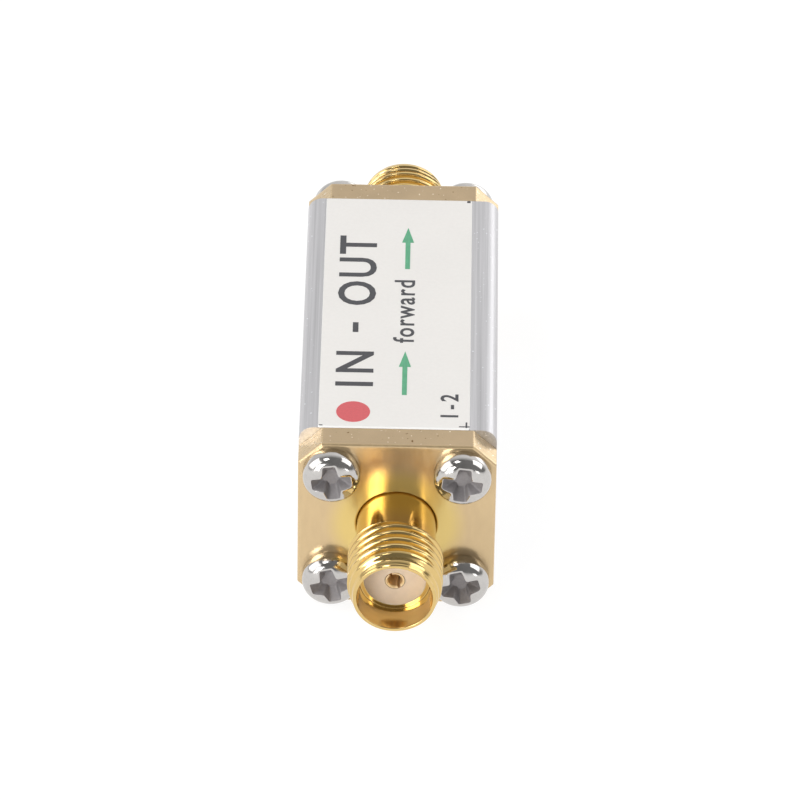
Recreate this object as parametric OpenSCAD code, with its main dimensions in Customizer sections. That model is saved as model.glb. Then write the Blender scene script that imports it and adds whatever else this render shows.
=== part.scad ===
// In-line coaxial isolator: a ferrite junction on a small board inside an extruded square tube,
// closed by two gold-plated end plates that each carry a threaded coaxial jack.
// Millimetres. +Y runs from the input jack to the output jack, +Z points up through the label.
// The origin is under the middle of the tube, on the surface that it lies on.

/* [Housing tube] */
// Width and height of the square tube and of the end plates
body_size = 13.2; // [12.6:0.1:14]
// Length of the tube between the end plates
tube_length = 26.2; // [25:0.2:32]
// Radius of the tube's four long outer edges
corner_radius = 1; // [0.4:0.1:1.2]
// Thickness of the tube's walls
wall = 1.4; // [1.2:0.1:1.5]
// Diameter of the four screw bosses that run along the inner corners
boss_diameter = 3.2; // [2.8:0.1:3.4]

/* [End plates] */
// Thickness of an end plate
plate_thickness = 1.85; // [1.2:0.05:2]
// Length that each corner of an end plate is cut back along its edges
plate_chamfer = 1.55; // [1:0.05:1.8]
// Width of the countersink round the jack's hole
hole_chamfer = 0.1; // [0.1:0.05:0.4]

/* [Plate screws] */
// Distance between the screws, sideways and upwards
screw_spacing = 8.7; // [8.6:0.1:9]
// Outside diameter of the screw thread
screw_diameter = 2; // [1.6:0.1:2]
// Length of the screw under its head
screw_length = 6; // [4:0.5:8]
// Diameter of the pan head
head_diameter = 3.85; // [3.6:0.05:4]
// Height of the pan head
head_height = 1.6; // [1.4:0.05:1.7]
// Straight part of the head's side, up from the plate
head_side = 0.55; // [0.3:0.05:0.6]
// Radius of the shoulder between the head's side and its dome
head_shoulder = 0.8; // [0.6:0.05:0.85]
// Width across the cross recess, from tip to tip
recess_span = 2.7; // [2.2:0.1:2.8]
// Width of one arm of the cross recess
recess_arm = 0.75; // [0.5:0.05:0.8]
// Depth of the cross recess
recess_depth = 1.05; // [0.8:0.05:1.1]

/* [Jacks] */
// How far a jack stands out from its end plate
jack_reach = 7.95; // [7.6:0.05:9]
// Outside diameter of the jack's thread
jack_thread_diameter = 6.35; // [6.3:0.01:6.4]
// Length of the threaded stretch, from the front rim
jack_thread_length = 4.5; // [4:0.1:5]
// Diameter of the smooth neck behind the thread
neck_diameter = 5.3; // [5.1:0.05:5.6]
// Length of the tapered nose in front of the full thread
nose_length = 1.45; // [0.5:0.05:1.6]
// Outside diameter of the front rim
rim_diameter = 5.5; // [5.3:0.05:5.8]
// Diameter of the recess that the plug's sleeve enters
recess_diameter = 4.7; // [4.6:0.01:4.75]
// Depth of that recess, from the rim to the reference plane
port_depth = 1.9; // [1.8:0.05:2]
// Diameter of the insulator behind the reference plane
insulator_diameter = 4.1; // [4:0.05:4.2]
// Diameter of the socket contact
contact_diameter = 1.27; // [1.2:0.01:1.3]
// Diameter of the hole in the socket contact
socket_diameter = 0.95; // [0.92:0.01:0.98]

/* [Label] */
// Width of the label
label_width = 10.1; // [9:0.1:10.6]
// Sideways shift of the label from the middle of the tube
label_shift = -0.28; // [-0.3:0.02:0.3]
// Thickness of the label film
label_thickness = 0.1; // [0.05:0.05:0.2]

/* [Board and junction] */
// Thickness of the carrier board
board_thickness = 0.8; // [0.6:0.1:1]
// Width of a 50 ohm line on the board
strip_width = 1.5; // [1:0.1:1.8]
// Side of the square junction cup
cup_size = 6.4; // [6.2:0.1:6.6]
// Diameter of the ferrite discs, pole plate and magnet
disc_diameter = 5.4; // [5:0.1:5.4]
// Thickness of one ferrite disc
ferrite_thickness = 0.6; // [0.5:0.05:0.6]
// Thickness of the magnet
magnet_thickness = 0.8; // [0.6:0.05:0.8]

/* [Hidden] */
$fn = 96;
eps = 0.05;

axis_height = body_size / 2;
half_body = tube_length / 2 + plate_thickness;

// Tube section
cavity_size = body_size - 2 * wall;
slot_depth = 0.6;
slot_clearance = 0.1;

// Screws, as seen from outside an end: upper left, upper right, lower left, lower right
screw_places = [[-1, 1], [1, 1], [-1, -1], [1, -1]] * screw_spacing / 2;
input_screw_turns = [8, -7, 15, 15];
output_screw_turns = [-20, 12, 30, 5];
screw_hole_clearance = 0.2;
thread_allowance = 0.05;
tip_chamfer = 0.3;
head_radius = head_diameter / 2;
shoulder_centre = head_radius - head_shoulder;
dome_rise = head_height - head_side;
// The dome is the circle about the head's axis that meets the shoulder's circle smoothly
dome_radius = (shoulder_centre ^ 2 + dome_rise ^ 2 - head_shoulder ^ 2) / (2 * (dome_rise - head_shoulder));
recess_floor_span = 0.9;
recess_core = 1.25;

// Jack, measured outwards from the plate's outer face
reference_plane = jack_reach - port_depth;
thread_start = jack_reach - jack_thread_length;
thread_run_out = 0.3;
port_chamfer = 0.12;
neck_fit = 0.02;
lip_diameter = 5.9;
lip_thickness = 0.35;
jack_rear = -plate_thickness - 1;
jack_rear_diameter = 4.6;
step_plane = 2.15;
rear_insulator_diameter = 2.9;
rear_contact_diameter = 0.9;
finger_room = 0.05;
finger_room_depth = 2.2;
socket_depth = 2.8;
socket_chamfer = 0.08;
slot_width = 0.2;
slot_length = 2;
slot_turn = 120;
tail_diameter = 0.7;
tail_flat = 0.25;
tail_length = 1.8;

// Board and junction heights, measured from the jacks' axis
strip_thickness = 0.05;
strip_top = -tail_flat;
board_top = strip_top - strip_thickness;
board_bottom = board_top - board_thickness;
board_width = cavity_size + 2 * (slot_depth - slot_clearance);
board_end_gap = 0.3;
board_length = 2 * (half_body + jack_rear - board_end_gap);
cup_floor = 0.3;
cup_clearance = 0.05;
conductor_thickness = 0.1;
pole_thickness = 0.2;
lid_thickness = 0.3;
lower_ferrite_base = board_top + cup_floor;
conductor_base = lower_ferrite_base + ferrite_thickness;
upper_ferrite_base = conductor_base + conductor_thickness;
pole_base = upper_ferrite_base + ferrite_thickness;
magnet_base = pole_base + pole_thickness;
lid_base = magnet_base + magnet_thickness;
conductor_disc = 3.2;
leg_width = 0.9;
leg_drop = 0.25;
leg_foot = 0.7;
leg_slot_clearance = 0.2;
leg_turns = [-90, 90, 0];
strip_gap = 0.15;
load_length = 2;
load_width = 1.25;
load_height = 0.5;
load_strip_width = 1.2;
load_strip_length = 6;
load_centre_x = cup_size / 2 + strip_gap + load_strip_width / 2;

// Places an end's pieces: x runs sideways, y upwards and z outwards from the plate's outer face
module at_input() {
    translate([0, -half_body, axis_height])
        rotate([90, 0, 0])
            children();
}

module at_output() {
    rotate([0, 0, 180])
        at_input()
            children();
}

// Places a junction piece: z runs upwards from the given height over the jacks' axis
module over_axis(height) {
    translate([0, 0, axis_height + height])
        children();
}

module rounded_square(size, radius) {
    straight = size - 2 * radius;
    square([size, straight], center = true);
    square([straight, size], center = true);
    for (x = [-1, 1], y = [-1, 1])
        translate([x, y] * straight / 2)
            circle(r = radius);
}

module at_screw_places() {
    for (place = screw_places)
        translate(place)
            children();
}

// Tube section: a hollow square with a drilled boss in each inner corner and a board slot in each side
module tube_section() {
    slot_height = board_thickness + slot_clearance;
    difference() {
        rounded_square(body_size, corner_radius);
        difference() {
            square(cavity_size, center = true);
            at_screw_places()
                circle(d = boss_diameter);
        }
        at_screw_places()
            circle(d = screw_diameter);
        translate([0, board_bottom + slot_height / 2])
            square([cavity_size + 2 * slot_depth, slot_height], center = true);
    }
}

module housing_tube() {
    color("silver")
        translate([0, tube_length / 2, axis_height])
            rotate([90, 0, 0])
                linear_extrude(tube_length)
                    tube_section();
}

// End plate: a square with cut corners, four screw holes and a countersunk hole for the jack
module end_plate() {
    edge = body_size / 2;
    cut = edge - plate_chamfer;
    hole_diameter = neck_diameter + 2 * neck_fit;
    color("burlywood")
        difference() {
            translate([0, 0, -plate_thickness])
                linear_extrude(plate_thickness)
                    difference() {
                        polygon([
                            [edge, -cut], [edge, cut], [cut, edge], [-cut, edge],
                            [-edge, cut], [-edge, -cut], [-cut, -edge], [cut, -edge]
                        ]);
                        at_screw_places()
                            circle(d = screw_diameter + screw_hole_clearance);
                        circle(d = hole_diameter);
                    }
            translate([0, 0, -hole_chamfer])
                cylinder(d1 = hole_diameter, d2 = hole_diameter + 2 * hole_chamfer, h = hole_chamfer);
        }
}

module input_end_plate() {
    at_input() end_plate();
}

module output_end_plate() {
    at_output() end_plate();
}

// Half outline of a pan head: a straight side, a round shoulder and a dome that runs into it
module head_outline() {
    dome_centre = head_height - dome_radius;
    ray = [shoulder_centre, head_side - dome_centre] * 2;
    intersection() {
        square([head_diameter, head_height]);
        union() {
            square([head_radius, head_side]);
            translate([shoulder_centre, head_side])
                circle(r = head_shoulder);
            intersection() {
                translate([0, dome_centre])
                    circle(r = dome_radius);
                polygon([[0, dome_centre], [ray.x, dome_centre + ray.y], [0, dome_centre + ray.y]]);
            }
        }
    }
}

// Cross recess: two crossed bars with sloping ends, opened up round the middle by a cone
module cross_recess() {
    floor_height = head_height - recess_depth;
    // The sloping ends reach the full span where they leave the dome
    edge_height = head_height - dome_radius + sqrt(dome_radius ^ 2 - (recess_span / 2) ^ 2);
    slope = (recess_span - recess_floor_span) / (edge_height - floor_height);
    top_span = recess_floor_span + slope * recess_depth;
    for (turn = [0, 90])
        rotate([90, 0, turn])
            linear_extrude(recess_arm, center = true)
                polygon([
                    [-top_span / 2, head_height], [-recess_floor_span / 2, floor_height],
                    [recess_floor_span / 2, floor_height], [top_span / 2, head_height]
                ]);
    translate([0, 0, floor_height])
        cylinder(d1 = recess_floor_span, d2 = recess_core, h = recess_depth);
}

module pan_screw() {
    shank_diameter = screw_diameter - thread_allowance;
    difference() {
        rotate_extrude()
            head_outline();
        cross_recess();
    }
    translate([0, 0, tip_chamfer - screw_length])
        cylinder(d = shank_diameter, h = screw_length - tip_chamfer);
    translate([0, 0, -screw_length])
        cylinder(d1 = shank_diameter - 2 * tip_chamfer, d2 = shank_diameter, h = tip_chamfer);
}

module plate_screws(turns) {
    color("lightgray")
        for (i = [0 : len(screw_places) - 1])
            translate(screw_places[i])
                rotate(turns[i])
                    pan_screw();
}

module input_plate_screws() {
    at_input() plate_screws(input_screw_turns);
}

module output_plate_screws() {
    at_output() plate_screws(output_screw_turns);
}

// Jack shell, turned in one piece: tapered nose, thread, neck, the lip that is swaged over behind
// the plate, and a stepped bore
module connector_shell() {
    lip_back = -plate_thickness - lip_thickness;
    outside = [
        [jack_rear_diameter / 2, jack_rear], [lip_diameter / 2, lip_back], [lip_diameter / 2, -plate_thickness],
        [neck_diameter / 2, -plate_thickness], [neck_diameter / 2, thread_start],
        [jack_thread_diameter / 2, thread_start + thread_run_out],
        [jack_thread_diameter / 2, jack_reach - nose_length], [rim_diameter / 2, jack_reach]
    ];
    inside = [
        [recess_diameter / 2 + port_chamfer, jack_reach], [recess_diameter / 2, jack_reach - port_chamfer],
        [recess_diameter / 2, reference_plane], [insulator_diameter / 2, reference_plane],
        [insulator_diameter / 2, step_plane], [rear_insulator_diameter / 2, step_plane],
        [rear_insulator_diameter / 2, jack_rear]
    ];
    color("goldenrod")
        rotate_extrude()
            polygon(concat(outside, inside));
}

module input_connector_shell() {
    at_input() connector_shell();
}

module output_connector_shell() {
    at_output() connector_shell();
}

// Insulator: a stepped bead with room round the contact's spring fingers
module connector_insulator() {
    finger_radius = contact_diameter / 2 + finger_room;
    finger_end = reference_plane - finger_room_depth;
    color("ivory")
        rotate_extrude()
            polygon([
                [rear_insulator_diameter / 2, jack_rear], [rear_insulator_diameter / 2, step_plane],
                [insulator_diameter / 2, step_plane], [insulator_diameter / 2, reference_plane],
                [finger_radius, reference_plane], [finger_radius, finger_end],
                [contact_diameter / 2, finger_end], [contact_diameter / 2, step_plane],
                [rear_contact_diameter / 2, step_plane], [rear_contact_diameter / 2, jack_rear]
            ]);
}

module input_connector_insulator() {
    at_input() connector_insulator();
}

module output_connector_insulator() {
    at_output() connector_insulator();
}

// Centre contact: a slotted socket, a thinner stem, and a tail with a flat that lies on the board's line
module centre_contact() {
    socket_radius = socket_diameter / 2;
    socket_floor = reference_plane - socket_depth;
    color("gold")
        difference() {
            rotate_extrude()
                polygon([
                    [0, jack_rear - tail_length], [tail_diameter / 2, jack_rear - tail_length],
                    [tail_diameter / 2, jack_rear], [rear_contact_diameter / 2, jack_rear],
                    [rear_contact_diameter / 2, step_plane], [contact_diameter / 2, step_plane],
                    [contact_diameter / 2, reference_plane], [socket_radius + socket_chamfer, reference_plane],
                    [socket_radius, reference_plane - socket_chamfer], [socket_radius, socket_floor],
                    [0, socket_floor]
                ]);
            rotate(slot_turn)
                translate([-contact_diameter, -slot_width / 2, reference_plane - slot_length])
                    cube([2 * contact_diameter, slot_width, slot_length + eps]);
            translate([-tail_diameter, -tail_diameter - tail_flat, jack_rear - tail_length - eps])
                cube([2 * tail_diameter, tail_diameter, tail_length + eps]);
        }
}

module input_centre_contact() {
    at_input() centre_contact();
}

module output_centre_contact() {
    at_output() centre_contact();
}

module label() {
    color("whitesmoke")
        translate([label_shift - label_width / 2, -tube_length / 2, body_size])
            cube([label_width, tube_length, label_thickness]);
}

module carrier_board() {
    color("darkgreen")
        over_axis(board_bottom)
            translate([-board_width / 2, -board_length / 2, 0])
                cube([board_width, board_length, board_thickness]);
}

// Line on the board from an end of the board to the junction cup
module signal_strip() {
    inner_end = cup_size / 2 + strip_gap;
    color("peru")
        over_axis(board_top)
            translate([-strip_width / 2, -board_length / 2, 0])
                cube([strip_width, board_length / 2 - inner_end, strip_thickness]);
}

module input_strip() {
    signal_strip();
}

module output_strip() {
    rotate([0, 0, 180]) signal_strip();
}

module load_strip() {
    color("peru")
        over_axis(board_top)
            translate([load_centre_x - load_strip_width / 2, -leg_width / 2, 0])
                cube([load_strip_width, load_strip_length, strip_thickness]);
}

module load_resistor() {
    color("dimgray")
        over_axis(strip_top)
            translate([load_centre_x - load_width / 2, load_strip_length - leg_width / 2 - load_length, 0])
                cube([load_width, load_length, load_height]);
}

// Junction cup: a square steel block with a round well, and a slot in the rim for each leg
module isolator_cup() {
    well_diameter = disc_diameter + 2 * cup_clearance;
    cup_height = lid_base - board_top;
    leg_slot_base = conductor_base - board_top - leg_slot_clearance;
    leg_slot_width = leg_width + 2 * leg_slot_clearance;
    color("slategray")
        over_axis(board_top)
            difference() {
                translate([-cup_size / 2, -cup_size / 2, 0])
                    cube([cup_size, cup_size, cup_height]);
                translate([0, 0, cup_floor])
                    cylinder(d = well_diameter, h = cup_height);
                for (turn = leg_turns)
                    rotate(turn)
                        translate([0, -leg_slot_width / 2, leg_slot_base])
                            cube([cup_size, leg_slot_width, cup_height]);
            }
}

module junction_disc(base, thickness) {
    over_axis(base)
        cylinder(d = disc_diameter, h = thickness);
}

module lower_ferrite() {
    color("black") junction_disc(lower_ferrite_base, ferrite_thickness);
}

module upper_ferrite() {
    color("black") junction_disc(upper_ferrite_base, ferrite_thickness);
}

module pole_plate() {
    color("lightsteelblue") junction_disc(pole_base, pole_thickness);
}

module bias_magnet() {
    color("dimgray") junction_disc(magnet_base, magnet_thickness);
}

// One leg: out through the cup's slot, down its side and along the line on the board
module junction_leg() {
    reach = cup_size / 2 + leg_drop;
    drop = conductor_base - strip_top;
    translate([0, leg_width / 2, 0])
        rotate([90, 0, 0])
            linear_extrude(leg_width)
                polygon([
                    [0, 0], [reach, 0], [reach, -drop], [reach + leg_foot, -drop],
                    [reach + leg_foot, conductor_thickness - drop],
                    [reach + conductor_thickness, conductor_thickness - drop],
                    [reach + conductor_thickness, conductor_thickness], [0, conductor_thickness]
                ]);
}

module junction_conductor() {
    color("orange")
        over_axis(conductor_base) {
            cylinder(d = conductor_disc, h = conductor_thickness);
            for (turn = leg_turns)
                rotate(turn)
                    junction_leg();
        }
}

module isolator_lid() {
    color("lightsteelblue")
        over_axis(lid_base)
            translate([-cup_size / 2, -cup_size / 2, 0])
                cube([cup_size, cup_size, lid_thickness]);
}

housing_tube();
input_end_plate();
output_end_plate();
input_plate_screws();
output_plate_screws();
input_connector_shell();
input_connector_insulator();
input_centre_contact();
output_connector_shell();
output_connector_insulator();
output_centre_contact();
label();
carrier_board();
input_strip();
output_strip();
load_strip();
load_resistor();
isolator_cup();
lower_ferrite();
junction_conductor();
upper_ferrite();
pole_plate();
bias_magnet();
isolator_lid();
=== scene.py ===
"""Looks of a small in-line coaxial isolator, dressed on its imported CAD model.

Sizes are written in millimetres and become metres when a mesh is made. +Y runs from the input jack to
the output jack, +Z points up through the label, and the origin lies on the table under the tube.
"""
import logging
import math
from dataclasses import dataclass
from enum import Enum, IntEnum
from functools import lru_cache
from typing import Any, Iterable, Sequence

import bmesh
import bpy
from bpy.types import Material, Mesh, Node, NodeSocket, NodeTree, Object
from mathutils import Euler, Matrix, Vector
from mathutils.geometry import delaunay_2d_cdt

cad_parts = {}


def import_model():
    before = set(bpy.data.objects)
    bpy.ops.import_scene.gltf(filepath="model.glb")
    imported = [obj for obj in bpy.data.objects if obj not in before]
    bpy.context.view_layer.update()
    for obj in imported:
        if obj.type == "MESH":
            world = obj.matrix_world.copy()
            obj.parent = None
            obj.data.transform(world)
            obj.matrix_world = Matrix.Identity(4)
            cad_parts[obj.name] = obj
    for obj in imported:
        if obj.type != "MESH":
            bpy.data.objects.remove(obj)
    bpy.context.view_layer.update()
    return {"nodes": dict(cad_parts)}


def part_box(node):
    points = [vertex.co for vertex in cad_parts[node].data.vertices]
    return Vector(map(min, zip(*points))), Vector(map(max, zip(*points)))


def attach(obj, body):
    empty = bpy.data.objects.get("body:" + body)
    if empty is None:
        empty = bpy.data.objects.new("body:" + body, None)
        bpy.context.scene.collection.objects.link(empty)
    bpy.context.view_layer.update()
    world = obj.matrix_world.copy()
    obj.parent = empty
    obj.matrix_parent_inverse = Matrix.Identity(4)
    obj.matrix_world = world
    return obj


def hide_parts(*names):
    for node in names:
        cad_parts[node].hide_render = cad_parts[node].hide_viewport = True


LOG = logging.getLogger("isolator")
BODY = "root"
MM = 0.001
MICRON = 1e-6

Point = Sequence[float]
Loop = list[int]

# Blender's names for the kinds of node that come up most
MATH = "ShaderNodeMath"
VECTOR_MATH = "ShaderNodeVectorMath"
MAP_RANGE = "ShaderNodeMapRange"
NOISE = "ShaderNodeTexNoise"


def linear_rgb(hex_colour: str) -> tuple[float, ...]:
    """Turns an sRGB hex colour into linear RGBA.

    Args:
        hex_colour: Six hex digits, red first.

    Returns:
        Red, green, blue and an alpha of one.
    """
    channels = [int(hex_colour[i:i + 2], 16) / 255 for i in (0, 2, 4)]
    return tuple(c / 12.92 if c <= 0.04045 else ((c + 0.055) / 1.055) ** 2.4 for c in channels) + (1.0,)


def add_node(tree: NodeTree, kind: str, inputs: dict | Sequence = (), **settings: Any) -> Node:
    """Adds a node to a tree, with its settings and its inputs.

    Args:
        tree: Shader, world or geometry tree.
        kind: Blender's name for the node's type.
        inputs: Value, output socket or node for each input, by name or number or in their order; a
            node stands for its first output.
        settings: Properties of the node.

    Returns:
        The new node.
    """
    node = tree.nodes.new(kind)
    for name, value in settings.items():
        setattr(node, name, value)
    for key, value in inputs.items() if isinstance(inputs, dict) else enumerate(inputs):
        if isinstance(value, Node):
            value = value.outputs[0]
        if isinstance(value, NodeSocket):
            tree.links.new(value, node.inputs[key])
        else:
            node.inputs[key].default_value = value
    return node


# Finishes

NOISE_SPAN = (0.3, 0.7)  # where nearly all values of a noise texture lie
SPECK_FADE = 0.03  # rise of the noise over which a speck sets in
SCATTER_WEIGHT = 0.35
SCATTER_TINT = (1.0, 0.9, 0.8)  # how far red, green and blue light travel inside, as shares
COLOUR_MIX = ("RGBA", 6, 2)  # data type of a Mix node, number of its first input and of its output
NUMBER_MIX = ("FLOAT", 2, 0)


@dataclass(frozen=True)
class Grain:
    """A noise pattern of a real size that shades, dulls or raises a surface.

    Each swing is the most that the pattern adds or takes away.
    """

    size_mm: tuple[float, float, float]
    shade: float = 0.0
    gloss: float = 0.0
    height_um: float = 0.0
    detail: float = 2.0


@dataclass(frozen=True)
class Speck:
    """Scattered spots of a real size: nicks, flecks and dust, and also painted glints and the painted shade
    of pits.
    """

    size_mm: float
    colour: str
    rarity: float
    roughness: float


@dataclass(frozen=True)
class Halo:
    """A painted reflection of the jack: a second colour round the jacks' axis that fades out with the
    distance from it.
    """

    colour: str
    axis_height_mm: float
    inner_mm: float
    outer_mm: float


@dataclass(frozen=True)
class Finish:
    """A surface: its colour and gloss, the patterns that its making left in it, and on some surfaces painted
    light: reflections, glints and shade.
    """

    name: str
    colour: str
    roughness: float
    metallic: float = 0.0
    grains: tuple[Grain, ...] = ()
    specks: tuple[Speck, ...] = ()
    scatter_mm: float = 0.0
    halo: Halo | None = None

    @lru_cache(maxsize=None)
    def material(self) -> Material:
        """Makes the finish's material once.

        Returns:
            The material, with a principled shader fed by the finish's patterns.
        """
        material = bpy.data.materials.new(self.name)
        material.use_nodes = True
        tree = material.node_tree
        shader = tree.nodes["Principled BSDF"]
        values = {"Base Color": linear_rgb(self.colour), "Roughness": self.roughness,
                  "Metallic": self.metallic}
        if self.scatter_mm:
            values |= {"Subsurface Weight": SCATTER_WEIGHT, "Subsurface Radius": SCATTER_TINT,
                       "Subsurface Scale": self.scatter_mm * MM}
        for name, value in values.items():
            shader.inputs[name].default_value = value
        place = add_node(tree, "ShaderNodeTexCoord").outputs["Object"]
        self._grain(tree, shader, place)
        if self.halo:
            self._paint_reflection(tree, shader, place)
        self._speck(tree, shader, place)
        return material

    def _grain(self, tree: NodeTree, shader: Node, place: NodeSocket) -> None:
        """Lets each grain swing the colour, the roughness and the height.

        Args:
            tree: The material's tree.
            shader: Its principled shader.
            place: Object coordinates.
        """
        sums = {"shade": 1.0, "gloss": self.roughness, "height_um": 0.0}
        for grain in self.grains:
            scale = [1 / (size * MM) for size in grain.size_mm]
            mapped = add_node(tree, "ShaderNodeMapping", {"Vector": place, "Scale": scale})
            noise = add_node(tree, NOISE, {"Vector": mapped, "Scale": 1.0, "Detail": grain.detail})
            swing = add_node(tree, MAP_RANGE, (noise, *NOISE_SPAN, -1.0))
            for quality, so_far in sums.items():
                amount = getattr(grain, quality)
                if amount:
                    terms = (swing, amount, so_far)
                    sums[quality] = add_node(tree, MATH, terms, operation="MULTIPLY_ADD")
        shade, gloss, height = sums.values()
        if isinstance(shade, Node):
            colour = linear_rgb(self.colour)[:3]
            tint = add_node(tree, VECTOR_MATH, {0: colour, "Scale": shade}, operation="SCALE")
            tree.links.new(tint.outputs[0], shader.inputs["Base Color"])
        if isinstance(gloss, Node):
            tree.links.new(gloss.outputs[0], shader.inputs["Roughness"])
        if isinstance(height, Node):
            bump = add_node(tree, "ShaderNodeBump", {"Height": height, "Distance": MICRON})
            tree.links.new(bump.outputs[0], shader.inputs["Normal"])

    def _paint_reflection(self, tree: NodeTree, shader: Node, place: NodeSocket) -> None:
        """Lays the painted reflection's colour over the surface's own.

        Args:
            tree: The material's tree.
            shader: Its principled shader.
            place: Object coordinates.
        """
        axis = (0.0, 0.0, self.halo.axis_height_mm * MM)
        span = (self.halo.outer_mm * MM, self.halo.inner_mm * MM)
        flat = add_node(tree, VECTOR_MATH, (place, (1.0, 0.0, 1.0)), operation="MULTIPLY")
        away = add_node(tree, VECTOR_MATH, (flat, axis), operation="DISTANCE").outputs["Value"]
        share = add_node(tree, MAP_RANGE, (away, *span), interpolation_type="SMOOTHSTEP")
        self._layer(tree, shader.inputs["Base Color"], share, linear_rgb(self.halo.colour))

    def _speck(self, tree: NodeTree, shader: Node, place: NodeSocket) -> None:
        """Lays each kind of speck over the colour and the roughness.

        Args:
            tree: The material's tree.
            shader: Its principled shader.
            place: Object coordinates.
        """
        for speck in self.specks:
            scale = 1 / (speck.size_mm * MM)
            noise = add_node(tree, NOISE, {"Vector": place, "Scale": scale, "Detail": 1.0})
            mask = add_node(tree, MAP_RANGE, (noise, speck.rarity, speck.rarity + SPECK_FADE))
            self._layer(tree, shader.inputs["Base Color"], mask, linear_rgb(speck.colour))
            self._layer(tree, shader.inputs["Roughness"], mask, speck.roughness)

    @staticmethod
    def _layer(tree: NodeTree, socket: NodeSocket, mask: Node, value: Any) -> None:
        """Lays a colour or a number over what one of the shader's inputs has so far.

        Args:
            tree: The material's tree.
            socket: The input.
            mask: Node that gives the share of the new value.
            value: The new value.
        """
        kind, first, result = COLOUR_MIX if socket.type == "RGBA" else NUMBER_MIX
        under = socket.links[0].from_socket if socket.links else socket.default_value
        mix = add_node(tree, "ShaderNodeMix", {0: mask, first: under, first + 1: value}, data_type=kind)
        tree.links.new(mix.outputs[result], socket)


# Extruded, lightly brushed aluminium: long fine lines from the die, a soft cool sheen and a few bright nicks
ALUMINIUM = Finish("extruded aluminium", "CAC9CB", 0.40, 1.0,
                   (Grain((0.16, 18.0, 0.16), 0.14, 0.09, 1.4, 3.0), Grain((0.9, 40.0, 0.9), 0.09)),
                   (Speck(0.22, "F4F6FA", 0.73, 0.5),))
# Gold-plated brass sheet, face side: a soft mirror under the milky haze of tumbled plating, with a painted
# reflection of the jack: a yellower colour round it that fades outwards
PLATE_FACE = Finish("gold plated brass face", "D8BE94", 0.22, 0.70,
                    (Grain((0.35, 0.35, 1.2), 0.03, 0.05, 0.35, 3.0), Grain((3.0, 3.0, 3.0), 0.03)),
                    halo=Halo("E6CB81", 6.6, 3.4, 5.0))
# The same plating over a sawn and tumbled edge: matt, with dark specks that paint shade into pits and
# bright specks that are painted glints
PLATE_EDGE = Finish("gold plated sawn edge", "C7B191", 0.5, 1.0,
                    (Grain((0.10, 0.10, 0.10), 0.06, 0.08, 1.6, 3.0), Grain((2.0, 2.0, 2.0), 0.05)),
                    (Speck(0.24, "FFF3DC", 0.715, 0.35), Speck(0.28, "8A6E48", 0.725, 0.6)))
# The plate's filed corners: smoother than the sawn edge, with file marks across them; a paler copy of the
# plating as painted highlight, and bright specks that are painted glints
PLATE_CORNER = Finish("gold plated filed corner", "DCC49E", 0.30, 1.0,
                      (Grain((0.5, 0.09, 0.5), 0.07, 0.10, 1.2, 3.0), Grain((1.2, 1.2, 1.2), 0.06)),
                      (Speck(0.20, "FFF6E6", 0.70, 0.3),))
# Polished gold plating on a turned brass shell: deep yellow mirror with faint rings from the lathe
JACK_GOLD = Finish("polished gold plating", "DCBE7F", 0.13, 1.0,
                   (Grain((4.0, 0.12, 4.0), 0.02, 0.03, 0.10, 2.0), Grain((1.4, 1.4, 1.4), 0.03)))
# Gold plating on the spring contact, a little duller
CONTACT_GOLD = Finish("gold plated contact", "F8DCAC", 0.42, 0.55, (Grain((0.3, 0.3, 0.3), 0.05, 0.04, 0.1),))
# Bright nickel over steel: a hard grey-white mirror with slight waviness from tumbling
NICKEL = Finish("bright nickel plating", "C6C3C0", 0.13, 1.0,
                (Grain((0.5, 0.5, 0.5), 0.03, 0.05, 0.9, 2.0), Grain((0.12, 0.12, 0.12), 0.03, 0.03)))
# The pressed recess: a darker, duller copy of the nickel that paints shade into it
SHADED_NICKEL_RECESS = Finish("dull nickel in a pressed recess", "9C9899", 0.55, 0.4,
                       (Grain((0.15, 0.15, 0.15), 0.10, 0.08, 0.8, 2.0),))
# Turned PTFE: waxy white that light enters, with faint turning marks; its warm tint is painted reflection
# of the gold shell round it
PTFE = Finish("turned ptfe", "E8D3BB", 0.42, 0.0, (Grain((0.4, 0.4, 0.4), 0.03, 0.05, 0.3),), (), 0.5)
# Polypropylene label film with a satin face: off-white, hardly any grain
FILM = Finish("satin label film", "EDEAE6", 0.48, 0.0,
              (Grain((0.25, 0.25, 0.25), 0.012, 0.04, 0.25), Grain((5.0, 5.0, 5.0), 0.012)))
# The film's cut ends, a whiter copy of the film that paints a highlight: a fine white line between the
# label and the plate
FILM_EDGE_HIGHLIGHT = Finish("film edge with painted highlight", "F8F8F6", 0.5, 0.0, (Grain((0.2, 0.2, 0.2), 0.02, 0.04),))
# Printing inks on the film: even, slightly mottled where the film shows through
RED_INK = Finish("red printing ink", "D65F64", 0.5, 0.0, (Grain((0.16, 0.16, 0.16), 0.05, 0.04),))
GREEN_INK = Finish("green printing ink", "5DAB83", 0.5, 0.0, (Grain((0.12, 0.5, 0.12), 0.09, 0.04),))
GREY_INK = Finish("dark grey printing ink", "48484C", 0.5, 0.0, (Grain((0.14, 0.14, 0.14), 0.12, 0.04),))
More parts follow.
